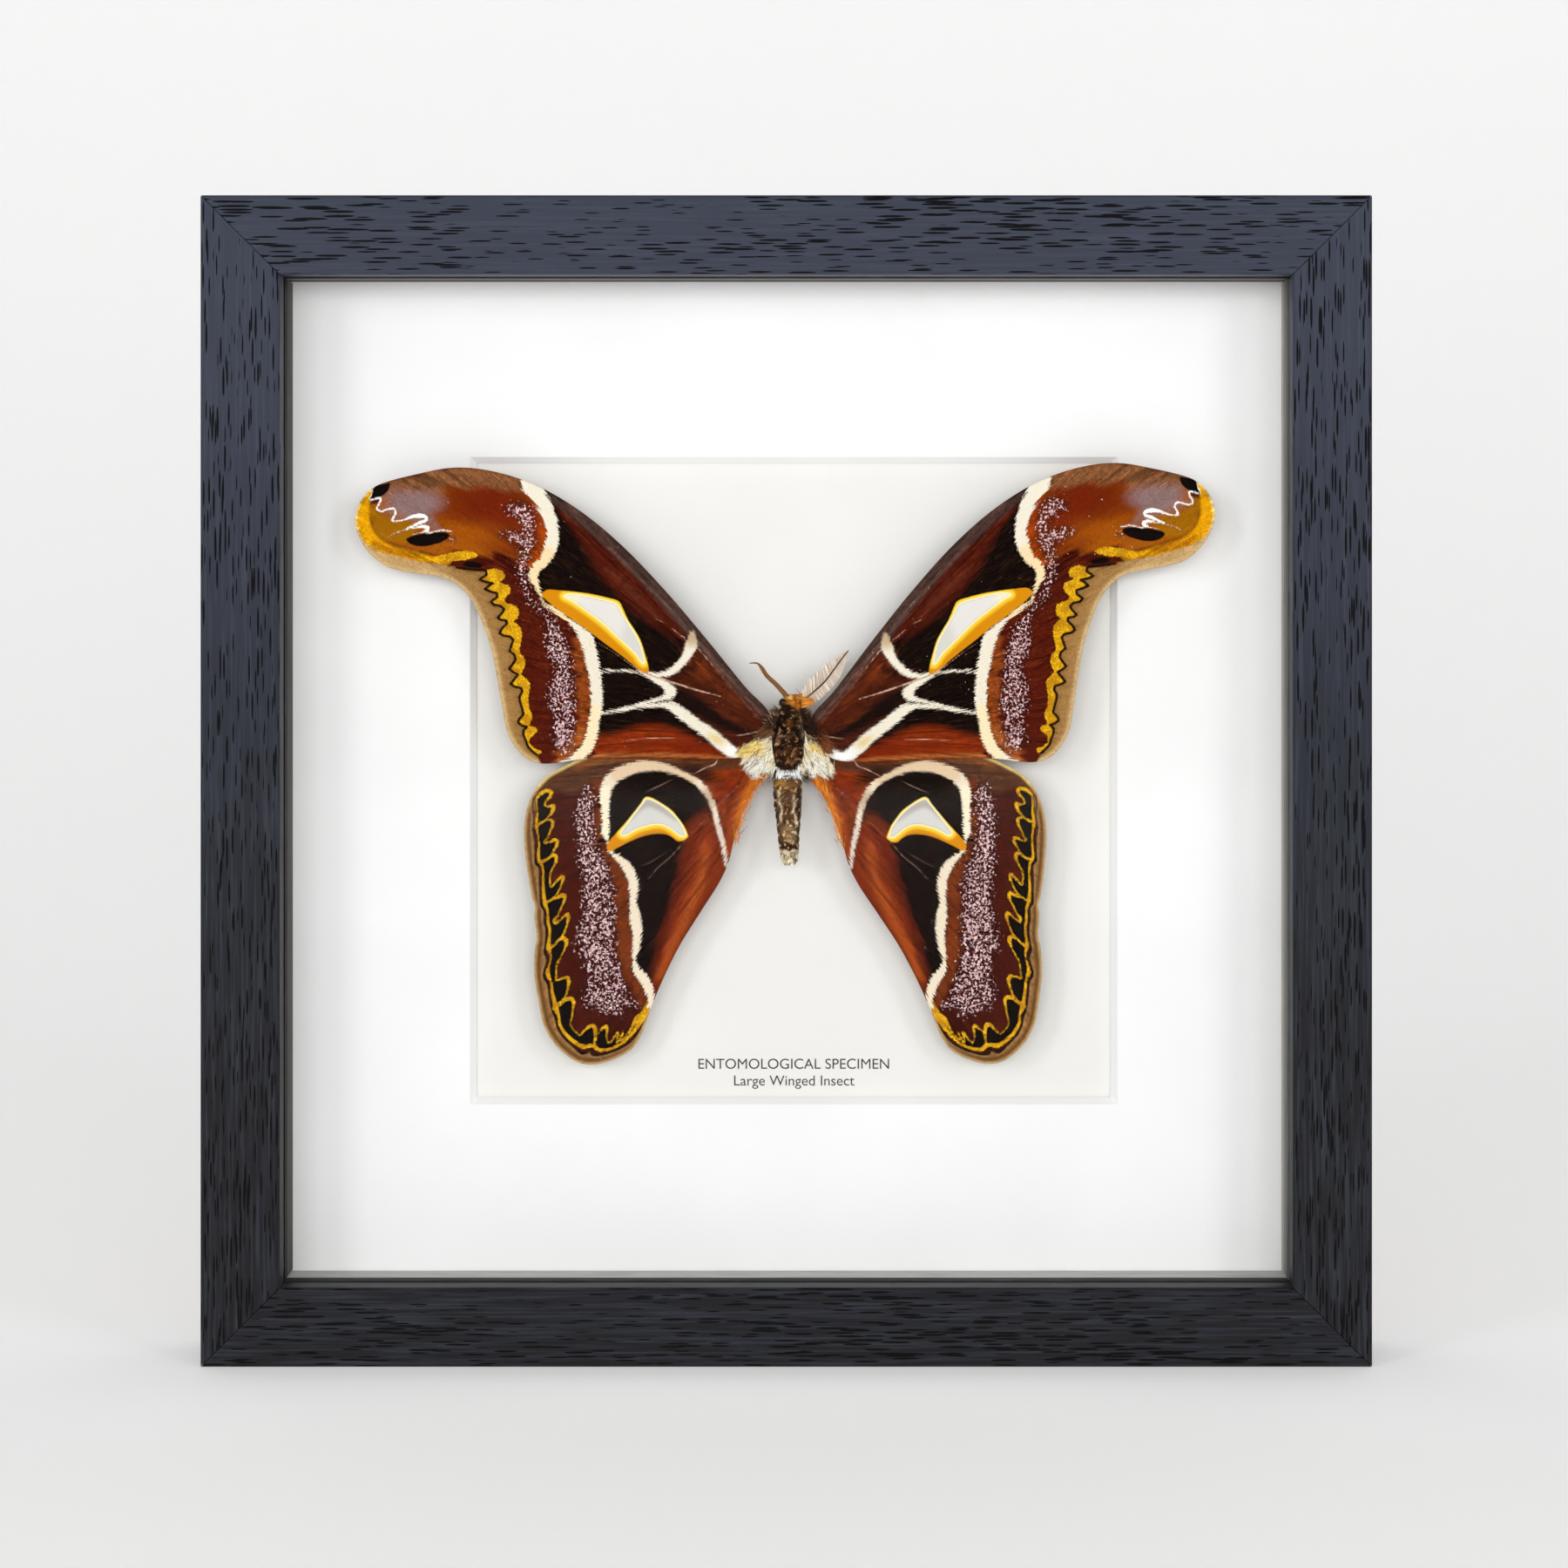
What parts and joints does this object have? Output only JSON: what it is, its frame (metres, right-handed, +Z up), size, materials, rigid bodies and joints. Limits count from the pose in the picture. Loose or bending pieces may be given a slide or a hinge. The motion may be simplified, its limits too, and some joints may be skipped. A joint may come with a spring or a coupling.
{
  "type": "framed moth specimen",
  "caption": "Spread giant silk moth mounted over a windowed white mat behind glass, in a deep square frame of dark open-grain wood.",
  "frame": {"origin": "middle of the underside of the frame", "axes": "+Z up the frame, -Y out of the glass towards the viewer, +X to the viewer's right"},
  "size_m": [0.28, 0.035, 0.28],
  "materials": {
    "frame_wood": "satin open-grain stain",
    "glazing": "clear gloss",
    "spacer_strip": "matte",
    "mat_white": "matte",
    "fibreboard": "matte",
    "steel": "satin",
    "wing_scales": "matte scales with satin sheen",
    "body_hair": "soft hair",
    "antenna_comb": "matte",
    "foam": "matte"
  },
  "bodies": {
    "root": {"frame_rail_bottom": "frame_wood", "frame_rail_right": "frame_wood", "frame_rail_top": "frame_wood", "frame_rail_left": "frame_wood", "glass_pane": "glazing", "spacer_bottom": "spacer_strip", "spacer_top": "spacer_strip", "spacer_left": "spacer_strip", "spacer_right": "spacer_strip", "mat_board": "mat_white", "backing_card": "mat_white", "backboard": "fibreboard", "retaining_tab_1": "steel", "retaining_tab_2": "steel", "retaining_tab_3": "steel", "retaining_tab_4": "steel", "retaining_tab_5": "steel", "retaining_tab_6": "steel", "retaining_tab_7": "steel", "retaining_tab_8": "steel", "sawtooth_hanger": "steel", "hanger_rivet_left": "steel", "hanger_rivet_right": "steel", "moth_body": "body_hair", "forewing_left": "wing_scales", "forewing_right": "wing_scales", "hindwing_left": "wing_scales", "hindwing_right": "wing_scales", "antenna_left": "antenna_comb", "antenna_right": "antenna_comb", "specimen_riser": "foam"}
  },
  "joints": []
}
